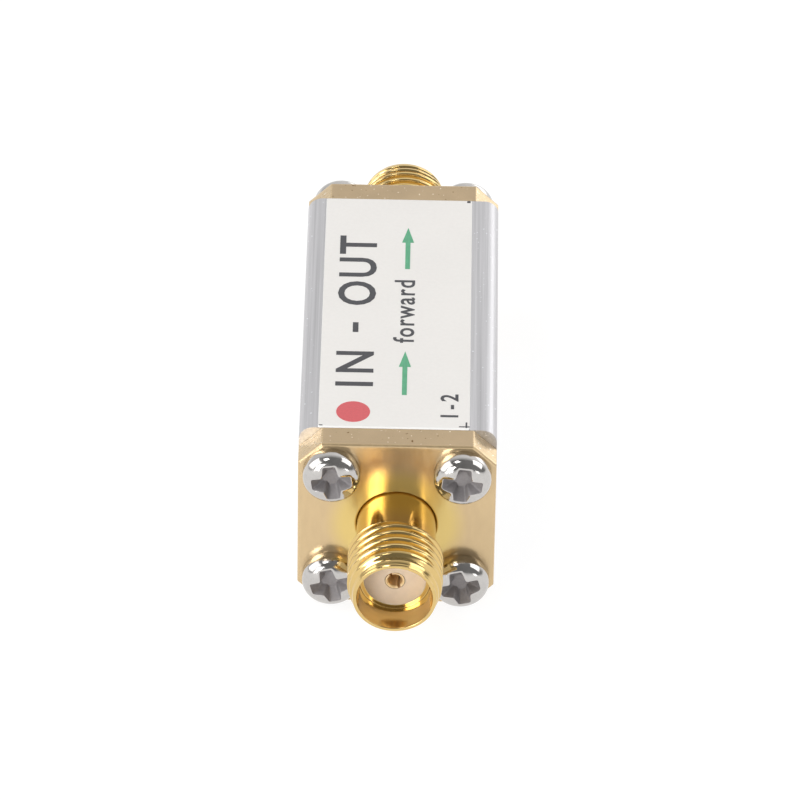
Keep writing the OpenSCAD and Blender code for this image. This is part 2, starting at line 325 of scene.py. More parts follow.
# Inner pieces: solder-masked glass laminate, bare copper foil, plated mild steel, sintered ferrite and
# glazed ceramic
LAMINATE = Finish("solder masked laminate", "2F6B3C", 0.34, 0.0, (Grain((0.5, 0.5, 0.5), 0.08, 0.05, 1.0),))
COPPER = Finish("bare copper foil", "D08A5E", 0.28, 1.0, (Grain((0.1, 0.6, 0.1), 0.06, 0.08, 0.4),))
STEEL = Finish("plated mild steel", "AEB1B6", 0.33, 1.0, (Grain((0.2, 0.2, 0.2), 0.05, 0.08, 0.6),))
FERRITE = Finish("sintered ferrite", "3A3A3D", 0.62, 0.0, (Grain((0.08, 0.08, 0.08), 0.18, 0.08, 1.5, 3.0),))
CERAMIC = Finish("glazed ceramic", "1E1E22", 0.22, 0.0, (Grain((0.3, 0.3, 0.3), 0.1, 0.05, 0.3),))


# Drawing

SMOOTH_ANGLE = 35.0  # degrees; an edge that bends by more stays sharp
MERGE_DISTANCE = 1e-8  # metres
FILL_TOLERANCE = 1e-7  # millimetres
ROUND_STEPS = 4  # chords in a round
ROUND_SHARE = 0.3  # the most that a round takes of a side
STRAIGHT_START = 1.4  # distance from a corner to the straight's own point, in lengths of the round


def circle(radius: float, count: int, height: float = 0.0) -> list[tuple[float, float, float]]:
    """Returns count points of a circle about the z axis."""
    turns = (2 * math.pi * i / count for i in range(count))
    return [(radius * math.cos(a), radius * math.sin(a), height) for a in turns]


def rounded(corners: Sequence[Point], radius: float) -> list[tuple[float, float]]:
    """Rounds the corners of a closed outline.

    A point just before and after each round keeps the straight stretches flat under smooth shading.

    Args:
        corners: The outline's corners.
        radius: Radius of the rounds; a short side makes it smaller.

    Returns:
        The rounded outline, with ROUND_STEPS + 3 points for each corner.
    """
    outline = []
    for i, corner in enumerate(corners):
        here = Vector(corner)
        before = Vector(corners[i - 1]) - here
        after = Vector(corners[(i + 1) % len(corners)]) - here
        half = before.angle(after) / 2
        reach = min(radius / math.tan(half), ROUND_SHARE * before.length, ROUND_SHARE * after.length)
        before.normalize()
        after.normalize()
        centre = here + (before + after).normalized() * reach / math.cos(half)
        start = here + before * reach - centre
        sweep = start.angle_signed(here + after * reach - centre)
        outline.append(here + before * reach * STRAIGHT_START)
        outline += [centre + Matrix.Rotation(-sweep * step / ROUND_STEPS, 2) @ start
                    for step in range(ROUND_STEPS + 1)]
        outline.append(here + after * reach * STRAIGHT_START)
    return [tuple(point) for point in outline]


class Draft:
    """A mesh while it is drawn: points in millimetres, faces, and the number of each face's finish."""

    def __init__(self) -> None:
        """Starts an empty draft."""
        self.points: list[Vector] = []
        self.faces: list[tuple[int, ...]] = []
        self.numbers: list[int] = []

    def loop(self, points: Iterable[Point]) -> Loop:
        """Adds points.

        Args:
            points: The points, in millimetres.

        Returns:
            Their numbers.
        """
        first = len(self.points)
        self.points += [Vector(point) for point in points]
        return list(range(first, len(self.points)))

    def face(self, corners: Sequence[int], number: int = 0) -> None:
        """Adds one face with the finish of that number."""
        self.faces.append(tuple(corners))
        self.numbers.append(number)

    def bridge(self, first: Loop, second: Loop, number: int = 0) -> None:
        """Joins two closed loops of the same length by a band of quads."""
        for i, corner in enumerate(first):
            self.face((first[i - 1], corner, second[i], second[i - 1]), number)

    def tower(self, loops: Sequence[Loop], number: int = 0) -> None:
        """Joins a stack of closed loops, each to the next."""
        for first, second in zip(loops, loops[1:]):
            self.bridge(first, second, number)

    def fill(self, borders: Sequence[Loop], spread: Loop | None = None, number: int = 0) -> None:
        """Fills the area between closed loops, seen along the z axis.

        Args:
            borders: The outer loop and the holes in it.
            spread: Points in the area that the faces also go through.
            number: Number of the finish.
        """
        members = [i for loop in borders for i in loop] + list(spread or ())
        place = {index: n for n, index in enumerate(members)}
        flat = [self.points[i].xy for i in members]
        edges = [(place[loop[i - 1]], place[loop[i]]) for loop in borders for i in range(len(loop))]
        triangles, origins = delaunay_2d_cdt(flat, edges, [], 0, FILL_TOLERANCE)[2:4]
        for triangle in triangles:
            corners = [origins[n][0] for n in triangle]
            middle = sum((flat[n] for n in corners), Vector((0.0, 0.0))) / 3
            if odd_crossings(middle, [(flat[a], flat[b]) for a, b in edges]):
                self.face([members[n] for n in corners], number)

    def build(self, name: str, finishes: Sequence[Finish], place: Matrix) -> Object:
        """Makes the draft an object at the origin, with its place in its mesh.

        Args:
            name: Name of the piece.
            finishes: Finish for each number that the faces use.
            place: Where the draft goes in the row frame, in millimetres.

        Returns:
            The object, linked to the scene.
        """
        mesh = bpy.data.meshes.new(name)
        mesh.from_pydata([place @ point * MM for point in self.points], [], self.faces)
        mesh.polygons.foreach_set("material_index", self.numbers)
        for finish in finishes:
            mesh.materials.append(finish.material())
        return finished(name, mesh)


def odd_crossings(point: Vector, edges: Iterable[tuple[Vector, Vector]]) -> bool:
    """Tells whether a point lies inside the outline that the edges make.

    Args:
        point: The point.
        edges: Both ends of each edge.

    Returns:
        True where a line from the point to the right crosses an odd number of edges.
    """
    inside = False
    for a, b in edges:
        if (a.y > point.y) != (b.y > point.y):
            inside ^= point.x < a.x + (point.y - a.y) * (b.x - a.x) / (b.y - a.y)
    return inside


def new_object(name: str, data: Any) -> Object:
    """Makes an object and links it to the scene.

    Args:
        name: Name of the object.
        data: Its mesh, curve, lamp or camera.

    Returns:
        The object.
    """
    holder = bpy.data.objects.new(name, data)
    bpy.context.scene.collection.objects.link(holder)
    return holder


def evaluated_mesh(piece: Object) -> Mesh:
    """Returns a piece's evaluated shape as a new plain mesh."""
    graph = bpy.context.evaluated_depsgraph_get()
    return bpy.data.meshes.new_from_object(piece.evaluated_get(graph))


def finished(name: str, mesh: Mesh) -> Object:
    """Turns a mesh's faces outwards, shades it smooth and links it as an object.

    Args:
        name: Name of the piece.
        mesh: Its closed mesh, in metres.

    Returns:
        The object.
    """
    work = bmesh.new()
    work.from_mesh(mesh)
    bmesh.ops.remove_doubles(work, verts=work.verts, dist=MERGE_DISTANCE)
    bmesh.ops.recalc_face_normals(work, faces=work.faces)
    work.to_mesh(mesh)
    work.free()
    mesh.shade_smooth()
    mesh.set_sharp_from_angle(angle=math.radians(SMOOTH_ANGLE))
    return new_object(name, mesh)


def place_piece(piece: Object, slot: str, *nodes: str) -> None:
    """Makes a piece ride on the part, and hides the CAD nodes that it stands for.

    Args:
        piece: The finished piece.
        slot: Not used.
        nodes: Names of the nodes that it replaces.
    """
    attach(piece, BODY)
    if nodes:
        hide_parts(*nodes)
    LOG.info("%s: %d faces", piece.name, len(piece.data.polygons))


# Geometry node trees

GROOVE_FLOOR = 0.08  # half pitches from the middle of the thread's groove to the foot of its flank
CREST_START = 0.78  # half pitches from there to the top of the flank
NOSE_FADE = 0.1  # millimetres outside the plain radius over which the groove sets in on the nose


def new_tree(name: str, inputs: dict[str, str]) -> tuple[NodeTree, Node]:
    """Starts a geometry tree with a geometry input, named inputs and a geometry output.

    Args:
        name: Name of the tree.
        inputs: Socket type for each input's name.

    Returns:
        The tree and its input node.
    """
    tree = bpy.data.node_groups.new(name, "GeometryNodeTree")
    sides = [("Geometry", "INPUT", "Geometry"), ("Geometry", "OUTPUT", "Geometry"),
             *((label, "INPUT", kind) for label, kind in inputs.items()), ("Material", "INPUT", "Material")]
    for label, side, kind in sides:
        tree.interface.new_socket(label, in_out=side, socket_type="NodeSocket" + kind)
    return tree, add_node(tree, "NodeGroupInput")


def end_tree(tree: NodeTree, entry: Node, geometry: Node) -> None:
    """Ends a tree in realized geometry whose first material is the tree's own.

    Args:
        tree: The tree.
        entry: Its input node.
        geometry: The node that gives what it has made.
    """
    real = add_node(tree, "GeometryNodeRealizeInstances", (geometry,))
    number = add_node(tree, "GeometryNodeInputMaterialIndex")
    first = add_node(tree, MATH, (number, 1.0), operation="LESS_THAN")
    dressed = add_node(tree, "GeometryNodeSetMaterial", {
        "Geometry": real, "Selection": first, "Material": entry.outputs["Material"]})
    add_node(tree, "NodeGroupOutput", (dressed,))


def run_tree(piece: Object, tree: NodeTree, values: dict[str, Any]) -> None:
    """Runs a tree on a piece and keeps the result as its plain mesh.

    Args:
        piece: The piece that the tree starts from.
        tree: The tree.
        values: Value for each input, by its name.
    """
    modifier = piece.modifiers.new(tree.name, "NODES")
    modifier.node_group = tree
    for item in tree.interface.items_tree:
        if item.in_out == "INPUT" and item.name in values:
            modifier[item.identifier] = values[item.name]
    mesh = evaluated_mesh(piece)
    piece.modifiers.remove(modifier)
    mesh.name = piece.name
    piece.data = mesh


@lru_cache(maxsize=None)
def thread_tree() -> NodeTree:
    """Makes the tree that cuts a right-handed outside thread about a line along y.

    A point that lies further out than the thread's flank at its angle comes in to that flank. On the
    tapered nose the groove follows the taper with a share of its depth, and dies out before the rim.

    Returns:
        The tree.
    """
    names = ("Axis Height", "Start", "Crest Radius", "Depth", "Pitch", "Shift", "Plain Radius", "Nose Share")
    tree, entry = new_tree("cut_thread", dict.fromkeys(names, "Float"))
    axis, start, crest, depth, pitch, shift, plain, nose = (entry.outputs[name] for name in names)
    place = add_node(tree, "GeometryNodeInputPosition")
    x, y, z = add_node(tree, "ShaderNodeSeparateXYZ", (place,)).outputs
    up = add_node(tree, MATH, (z, axis), operation="SUBTRACT")
    spoke = add_node(tree, "ShaderNodeCombineXYZ", (x, 0.0, up))
    radius = add_node(tree, VECTOR_MATH, (spoke,), operation="LENGTH").outputs["Value"]
    angle = add_node(tree, MATH, (x, up), operation="ARCTAN2")
    turn = add_node(tree, MATH, (angle, 2 * math.pi), operation="DIVIDE")
    along = add_node(tree, MATH, (y, shift), operation="ADD")
    run = add_node(tree, MATH, (along, pitch), operation="DIVIDE")
    lead = add_node(tree, MATH, (run, turn), operation="SUBTRACT")
    phase = add_node(tree, MATH, (lead,), operation="FRACT")
    aside = add_node(tree, MATH, (phase, 0.5), operation="SUBTRACT")
    away = add_node(tree, MATH, (aside,), operation="ABSOLUTE")
    halves = add_node(tree, MATH, (away, 2.0), operation="MULTIPLY")
    cut = add_node(tree, MAP_RANGE, (halves, GROOVE_FLOOR, CREST_START, depth, 0.0),
                   interpolation_type="SMOOTHSTEP")
    flank = add_node(tree, MATH, (crest, cut), operation="SUBTRACT")
    past_flank = add_node(tree, MATH, (radius, flank), operation="SUBTRACT")
    full = add_node(tree, MATH, (plain, NOSE_FADE * MM), operation="ADD")
    share = add_node(tree, MAP_RANGE, (radius, plain, full, 0.0, nose))
    nose_cut = add_node(tree, MATH, (cut, share), operation="MULTIPLY")
    inwards = add_node(tree, MATH, (past_flank, nose_cut), operation="MAXIMUM")
    reach = add_node(tree, MATH, (y,), operation="ABSOLUTE")
    outside = add_node(tree, MATH, (reach, start), operation="GREATER_THAN")
    part = add_node(tree, MATH, (inwards, radius), operation="DIVIDE")
    sign = add_node(tree, MATH, (outside, -1.0), operation="MULTIPLY")
    pull = add_node(tree, MATH, (part, sign), operation="MULTIPLY")
    offset = add_node(tree, VECTOR_MATH, {0: spoke, "Scale": pull}, operation="SCALE")
    moved = add_node(tree, "GeometryNodeSetPosition", {
        "Geometry": entry.outputs["Geometry"], "Offset": offset})
    end_tree(tree, entry, moved)
    return tree


@lru_cache(maxsize=None)
def screw_tree() -> NodeTree:
    """Makes the tree that sets one screw at the corners of a square, each turned by its own angle.

    Returns:
        The tree.
    """
    turns = [f"Turn {i}" for i in range(4)]
    kinds = {"Spacing": "Float", "Place": "Vector", "Facing": "Rotation"}
    tree, entry = new_tree("screw_square", kinds | dict.fromkeys(turns, "Float"))
    value = entry.outputs
    grid = add_node(tree, "GeometryNodeMeshGrid", (value["Spacing"], value["Spacing"], 2, 2))
    chosen = add_node(tree, "GeometryNodeIndexSwitch", data_type="FLOAT")
    for _ in range(len(turns) - len(chosen.index_switch_items)):
        chosen.index_switch_items.new()
    choices = [add_node(tree, "GeometryNodeInputIndex").outputs[0], *(value[turn] for turn in turns)]
    for number, choice in enumerate(choices):
        tree.links.new(choice, chosen.inputs[number])
    angle = add_node(tree, "ShaderNodeCombineXYZ", {2: chosen})
    screws = add_node(tree, "GeometryNodeInstanceOnPoints", {
        "Points": grid, "Instance": value["Geometry"], "Rotation": angle})
    placed = add_node(tree, "GeometryNodeTransform", {
        "Geometry": screws, "Translation": value["Place"], "Rotation": value["Facing"]})
    end_tree(tree, entry, placed)
    return tree


# Sub-assemblies

class Area(IntEnum):
    """Number of a finish in a piece's list, by what it covers."""

    MAIN = 0
    SIDE = 1
    CORNER = 2


class End(Enum):
    """The two ends of the isolator; the value is the turn about z, in degrees, from the input end."""

    INPUT = 0
    OUTPUT = 180

    @property
    def word(self) -> str:
        """The end's word in the names of its pieces."""
        return self.name.lower()

    @property
    def turn(self) -> Euler:
        """The turn of the end's frame: x sideways, y up and z outwards from the plate."""
        return Euler((math.pi / 2, 0.0, math.radians(self.value)))


@dataclass
class Body:
    """Sizes that the ends share, in millimetres."""

    half_length: float
    axis_height: float
    half_width: float
    plate_thickness: float
    jack_reach: float
    screw_spacing: float = 8.7

    @classmethod
    def measured(cls) -> "Body":
        """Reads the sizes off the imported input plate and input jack.

        Returns:
            The sizes.
        """
        low, high = (Vector(corner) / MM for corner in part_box("input_end_plate"))
        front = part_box("input_connector_shell")[0][1] / MM
        return cls(-low.y, (low.z + high.z) / 2, high.x, high.y - low.y, low.y - front)

    def origin(self, end: End) -> Vector:
        """Returns the middle of an end plate's outer face."""
        side = -1 if end is End.INPUT else 1
        return Vector((0.0, side * self.half_length, self.axis_height))

    def place(self, end: End) -> Matrix:
        """Returns the matrix of an end's frame, in millimetres."""
        return Matrix.Translation(self.origin(end)) @ end.turn.to_matrix().to_4x4()


@dataclass
class EndPlate:
    """Gold-plated brass plate with cut corners, four screw holes and a countersunk hole for the jack."""

    body: Body
    corner_cut: float = 1.55
    corner_round: float = 0.12
    edge_round: float = 0.14
    back_round: float = 0.03
    screw_hole: float = 1.1
    screw_hole_points: int = 48
    jack_hole: float = 2.67
    jack_hole_points: int = 160
    countersink: float = 0.1
    sink_border: float = 0.06
    sink_ease: float = 0.02

    def outline(self, inset: float) -> list[tuple[float, float]]:
        """Returns the plate's outline, drawn in by inset.

        Args:
            inset: Distance from the full outline.

        Returns:
            The outline's points.
        """
        edge = self.body.half_width - inset
        cut = self.body.half_width - self.corner_cut - inset * (math.sqrt(2) - 1)
        return rounded([(edge, -cut), (edge, cut), (cut, edge), (-cut, edge),
                        (-edge, cut), (-edge, -cut), (-cut, -edge), (cut, -edge)], self.corner_round)

    def rim(self, draft: Draft) -> list[Loop]:
        """Draws the outer edge from the front face to the back.

        Args:
            draft: The plate's draft.

        Returns:
            The loops at the front and at the back.
        """
        ease, rear, far = self.edge_round, self.back_round, -self.body.plate_thickness
        angles = [math.pi / 2 * step / ROUND_STEPS for step in range(ROUND_STEPS + 1)]
        bend = [(1 - math.sin(angle), 1 - math.cos(angle)) for angle in angles]
        front = [(ease * inset, -ease * drop) for inset, drop in bend]
        back = [(rear * inset, far + rear * drop) for inset, drop in reversed(bend)]
        levels = [(2 * ease, 0.0), *front, (0.0, -2 * ease), (0.0, 2 * rear + far), *back, (2 * rear, far)]
        loops = [draft.loop((x, y, z) for x, y in self.outline(inset)) for inset, z in levels]
        draft.tower(loops)
        corner_line = 2 * self.body.half_width - self.corner_cut - 2 * ease
        for n, face in enumerate(draft.faces):
            middle = sum((draft.points[i] for i in face), Vector()) / len(face)
            if -ease > middle.z > rear + far:
                cut_off = abs(middle.x) + abs(middle.y) > corner_line
                draft.numbers[n] = Area.CORNER if cut_off else Area.SIDE
        return [loops[0], loops[-1]]

    def hole(self, draft: Draft, x: float, y: float, levels: Sequence[Point], count: int) -> list[Loop]:
        """Draws a hole through the plate.

        Args:
            draft: The plate's draft.
            x: Sideways place of the hole.
            y: Upward place of the hole.
            levels: Radius and height of each ring, from front to back.
            count: Points in a ring.

        Returns:
            The loops at the front and at the back.
        """
        loops = [draft.loop((x + a, y + b, z) for a, b, z in circle(r, count, z)) for r, z in levels]
        draft.tower(loops)
        return [loops[0], loops[-1]]

    def build(self, end: End) -> None:
        """Makes the plate of one end.

        Args:
            end: The end that it closes.
        """
        draft = Draft()
        far, sink, ease = -self.body.plate_thickness, self.countersink, self.sink_ease
        hole, mouth = self.jack_hole, self.jack_hole + sink
        jack_levels = [(mouth + self.sink_border, 0.0), (mouth, 0.0), (mouth - 1.5 * ease, -ease),
                       (hole + ease, ease - sink), (hole, -sink - ease), (hole, far)]
        screw_levels = [(self.screw_hole, 0.0), (self.screw_hole, far)]
        half = self.body.screw_spacing / 2
        pairs = [self.rim(draft), self.hole(draft, 0.0, 0.0, jack_levels, self.jack_hole_points)]
        pairs += [self.hole(draft, x, y, screw_levels, self.screw_hole_points)
                  for x in (-half, half) for y in (-half, half)]
        for borders in zip(*pairs):
            draft.fill(borders)
        plate = draft.build(f"{end.word}_plate", (PLATE_FACE, PLATE_EDGE, PLATE_CORNER), self.body.place(end))
        place_piece(plate, "gold_plated_plate", f"{end.word}_end_plate")


@dataclass
class Jack:
    """Turned jack shell with its outside thread."""

    body: Body
    thread_radius: float = 3.175
    thread_length: float = 4.5
    thread_pitch: float = 0.7056
    thread_depth: float = 0.45
    thread_shift: float = 0.65
    plain_radius: float = 2.79
    nose_share: float = 0.7
    run_out: float = 0.08
    neck_radius: float = 2.65
    nose_length: float = 1.45
    rim_radius: float = 2.75
    recess_radius: float = 2.35
    mouth_flare: float = 0.18
    flare_length: float = 1.1
    port_depth: float = 1.9
    bead_radius: float = 2.05
    bead_rear_radius: float = 1.45
    bead_step: float = 2.15
    lip_radius: float = 2.95
    lip_thickness: float = 0.35
    tail: float = 1.0
    rear_radius: float = 2.3
    edge_round: float = 0.045
    segments: int = 192
    row: float = 0.04

    def profile(self) -> list[tuple[float, float]]:
        """Draws the shell's half section.

        Returns:
            Its points as radius and distance outwards from the plate's face.
        """
        reach, back = self.body.jack_reach, -self.body.plate_thickness
        start, plane, rear = reach - self.thread_length, reach - self.port_depth, back - self.tail
        corners = [
            (self.rear_radius, rear), (self.lip_radius, back - self.lip_thickness), (self.lip_radius, back),
            (self.neck_radius, back), (self.neck_radius, start), (self.thread_radius, start + self.run_out),
            (self.thread_radius, reach - self.nose_length), (self.rim_radius, reach),
            (self.recess_radius + self.mouth_flare, reach), (self.recess_radius, reach - self.flare_length),
            (self.recess_radius, plane), (self.bead_radius, plane), (self.bead_radius, self.bead_step),
            (self.bead_rear_radius, self.bead_step), (self.bead_rear_radius, rear)]
        return self.with_rows(rounded(corners, self.edge_round))

    def with_rows(self, outline: Sequence[Point]) -> list[tuple[float, float]]:
        """Cuts the threaded stretch of the section into rows fine enough for the thread.

        Args:
            outline: The rounded section.

        Returns:
            The section with its extra points.
        """
        rows = []
        for i, here in enumerate(outline):
            after = outline[(i + 1) % len(outline)]
            rows.append(here)
            if min(here[0], after[0]) > self.neck_radius and here[1] > 0:
                span = Vector(after) - Vector(here)
                parts = math.ceil(span.length / self.row)
                rows += [tuple(Vector(here) + span * n / parts) for n in range(1, parts)]
        return rows

    def build(self, end: End) -> None:
        """Makes the shell of one end and cuts its thread.

        Args:
            end: The end that it stands on.
        """
        draft = Draft()
        loops = [draft.loop(circle(r, self.segments, t)) for r, t in self.profile()]
        draft.tower(loops + loops[:1])
        shell = draft.build(f"{end.word}_jack", (JACK_GOLD,), self.body.place(end))
        run_tree(shell, thread_tree(), {
            "Axis Height": self.body.axis_height * MM, "Start": self.body.half_length * MM,
            "Crest Radius": self.thread_radius * MM, "Depth": self.thread_depth * MM,
            "Pitch": self.thread_pitch * MM, "Shift": self.thread_shift * MM,
            "Plain Radius": self.plain_radius * MM, "Nose Share": self.nose_share,
            "Material": JACK_GOLD.material()})
        place_piece(shell, "gold_plated_jack", f"{end.word}_connector_shell")


# Loops of a recess's lip: growth outwards and drop, as shares of the lip's width
LIP_LOOPS = ((1.0, 0.0), (0.55, 0.06), (0.2, 0.3), (0.0, 1.0))
# Rings round the lower edge of a screw's head: inset and height in millimetres
HEAD_EDGE = ((0.0, 0.09), (0.02, 0.03), (0.07, 0.0))
# Turns of an end's screws in degrees: lower left, upper left, lower right, upper right
SCREW_TURNS = {End.INPUT: (15.0, 8.0, 15.0, -7.0), End.OUTPUT: (30.0, -20.0, 5.0, 12.0)}


@dataclass
class PlateScrews:
    """Four pan head screws with a cross recess."""

    body: Body
    head_radius: float = 1.925
    head_height: float = 1.6
    head_side: float = 0.55
    side_step: float = 0.05
    shoulder: float = 0.8
    recess_reach: float = 1.30
    recess_arm: float = 0.39
    recess_waist: float = 0.54
    recess_round: float = 0.16
    recess_depth: float = 1.05
    floor_reach: float = 0.60
    floor_share: float = 0.6
    lip: float = 0.14
    lip_room: float = 0.05
    shank_radius: float = 0.975
    length: float = 6.0
    tip: float = 0.3
    segments: int = 96
    rings: int = 12
    first_dome_ring: int = 4
    filled_shoulder_rings: int = 4

    @property
    def shoulder_centre(self) -> float:
        """Distance of the shoulder's circle from the screw's axis."""
        return self.head_radius - self.shoulder

    @property
    def dome_radius(self) -> float:
        """Radius of the dome that runs smoothly into the shoulder."""
        rise = self.head_height - self.head_side
        return (self.shoulder_centre ** 2 + rise ** 2 - self.shoulder ** 2) / (2 * (rise - self.shoulder))

    @property
    def dome_edge(self) -> float:
        """Distance from the axis at which the dome meets the shoulder."""
        return self.dome_radius * self.shoulder_centre / (self.dome_radius - self.shoulder)

    def top(self, radius: float) -> float:
        """Returns the height of the head's top over the plate.

        Args:
            radius: Distance from the axis.

        Returns:
            The height of the dome or of the shoulder there.
        """
        if radius < self.dome_edge:
            return self.head_height - self.dome_radius + math.sqrt(self.dome_radius ** 2 - radius ** 2)
        return self.head_side + math.sqrt(self.shoulder ** 2 - (radius - self.shoulder_centre) ** 2)

    def cross(self, reach: float, arm: float, waist: float) -> list[tuple[float, float]]:
        """Returns the outline of a cross with rounded corners.

        Args:
            reach: Distance of an arm's end from the axis.
            arm: Half width of an arm at its end.
            waist: Distance of the inner corners from the arms' middle lines.

        Returns:
            The outline's points.
        """
        quarter = [Vector((reach, -arm)), Vector((reach, arm)), Vector((waist, waist))]
        corners = [Matrix.Rotation(math.pi / 2 * turn, 2) @ point for turn in range(4) for point in quarter]
        return rounded(corners, self.recess_round)

    def mouth(self, growth: float) -> list[tuple[float, float]]:
        """Returns the recess's outline at the dome, grown outwards."""
        return self.cross(self.recess_reach + growth, self.recess_arm + growth, self.recess_waist + growth)

    def recess(self, draft: Draft) -> Loop:
        """Draws the cross recess, from its eased lip on the dome down to its floor.

        Args:
            draft: The screw's draft.

        Returns:
            The loop of the lip's outer edge.
        """
        loops = []
        for growth, drop in LIP_LOOPS:
            outline = self.mouth(growth * self.lip)
            loops.append(draft.loop((x, y, self.top(math.hypot(x, y)) - drop * self.lip) for x, y in outline))
        floor = self.cross(self.floor_reach, self.floor_share * self.recess_arm,
                           self.floor_share * self.recess_waist)
        loops.append(draft.loop((x, y, self.head_height - self.recess_depth) for x, y in floor))
        draft.tower(loops[:3])
        # The recess's walls and floor take the second finish, the darker nickel that paints shade into the
        # recess
        draft.tower(loops[2:], Area.SIDE)
        draft.fill([loops[-1]], number=Area.SIDE)
        return loops[0]

    def screw(self) -> Draft:
        """Draws one screw, with its head's underside at height zero.

        Returns:
            The screw's draft.
        """
        draft = Draft()
        lip = self.recess(draft)
        guard = [Vector(point) for point in self.mouth(self.lip + self.lip_room)]
        fence = [(guard[i - 1], guard[i]) for i in range(len(guard))]
        start = math.asin(self.dome_edge / self.dome_radius)
        angles = [start + (math.pi / 2 - start) * n / self.rings for n in range(self.rings + 1)]
        shoulder = [self.shoulder_centre + self.shoulder * math.sin(angle) for angle in angles]
        filled = [self.dome_edge * n / self.rings for n in range(self.first_dome_ring, self.rings)]
        filled += shoulder[:self.filled_shoulder_rings]
        rings = [circle(r, self.segments, self.top(r)) for r in filled]
        spread = draft.loop(p for ring in rings for p in ring if not odd_crossings(Vector(p[:2]), fence))
        levels = [(r, self.top(r)) for r in shoulder[self.filled_shoulder_rings:-1]]
        levels += [(self.head_radius, self.head_side), (self.head_radius, self.head_side - self.side_step)]
        levels += [(self.head_radius - inset, height) for inset, height in HEAD_EDGE]
        levels += [(self.shank_radius, 0.0), (self.shank_radius, self.tip - self.length),
                   (self.shank_radius - self.tip, -self.length)]
        loops = [draft.loop(circle(r, self.segments, z)) for r, z in levels]
        draft.fill([loops[0], lip], spread)
        draft.tower(loops)
        draft.fill([loops[-1]])
        return draft

    def build(self, end: End) -> None:
        """Makes the four screws of one end, as one piece.

        Args:
            end: The end whose plate they hold.
        """
        screws = self.screw().build(f"{end.word}_screws", (NICKEL, SHADED_NICKEL_RECESS), Matrix())
        turns = {f"Turn {i}": math.radians(turn) for i, turn in enumerate(SCREW_TURNS[end])}
        run_tree(screws, screw_tree(), {
            **turns, "Spacing": self.body.screw_spacing * MM, "Place": self.body.origin(end) * MM,
            "Facing": end.turn, "Material": NICKEL.material()})
        place_piece(screws, "nickel_plated_steel", f"{end.word}_plate_screws")


@dataclass(frozen=True)
class Word:
    """A printed word that reads along +Y, its foot towards +X.

    The height is that of its capitals, the gap is its letter spacing as a share of the font's own, and
    the weight is added to each side of a stroke.
    """

    name: str
    text: str
    foot_x: float
    middle_y: float
    height: float
    gap: float
    weight: float


PORT_WORDS = (Word("input_word", "IN", -1.80, -6.62, 2.46, 1.35, 0.05),
              Word("output_word", "OUT", -1.80, 4.55, 2.46, 1.15, 0.05))
SMALL_WORDS = (Word("flow_word", "forward", 0.90, 0.0, 1.36, 1.14, 0.025),
               Word("port_numbers", "1-2", 3.96, -10.7, 1.14, 1.4, 0.03))
# Arrows: x, tail and tip
ARROWS = ((0.36, -9.46, -4.60), (0.38, 4.84, 9.65))
# Bars: x and y of the middle, half width and half length
PORT_DASH = (-3.04, -1.95, 0.19, 0.55)
CUTTING_MARKS = ((4.40, -12.85, 0.36, 0.05), (4.54, -12.58, 0.055, 0.21), (4.54, -12.935, 0.055, 0.025),
                 (-5.16, -12.93, 0.13, 0.045), (4.53, 12.86, 0.11, 0.11))
CAPITAL_SHARE = 0.69  # height of the font's capitals as a share of its size
LETTER_STEPS = 4


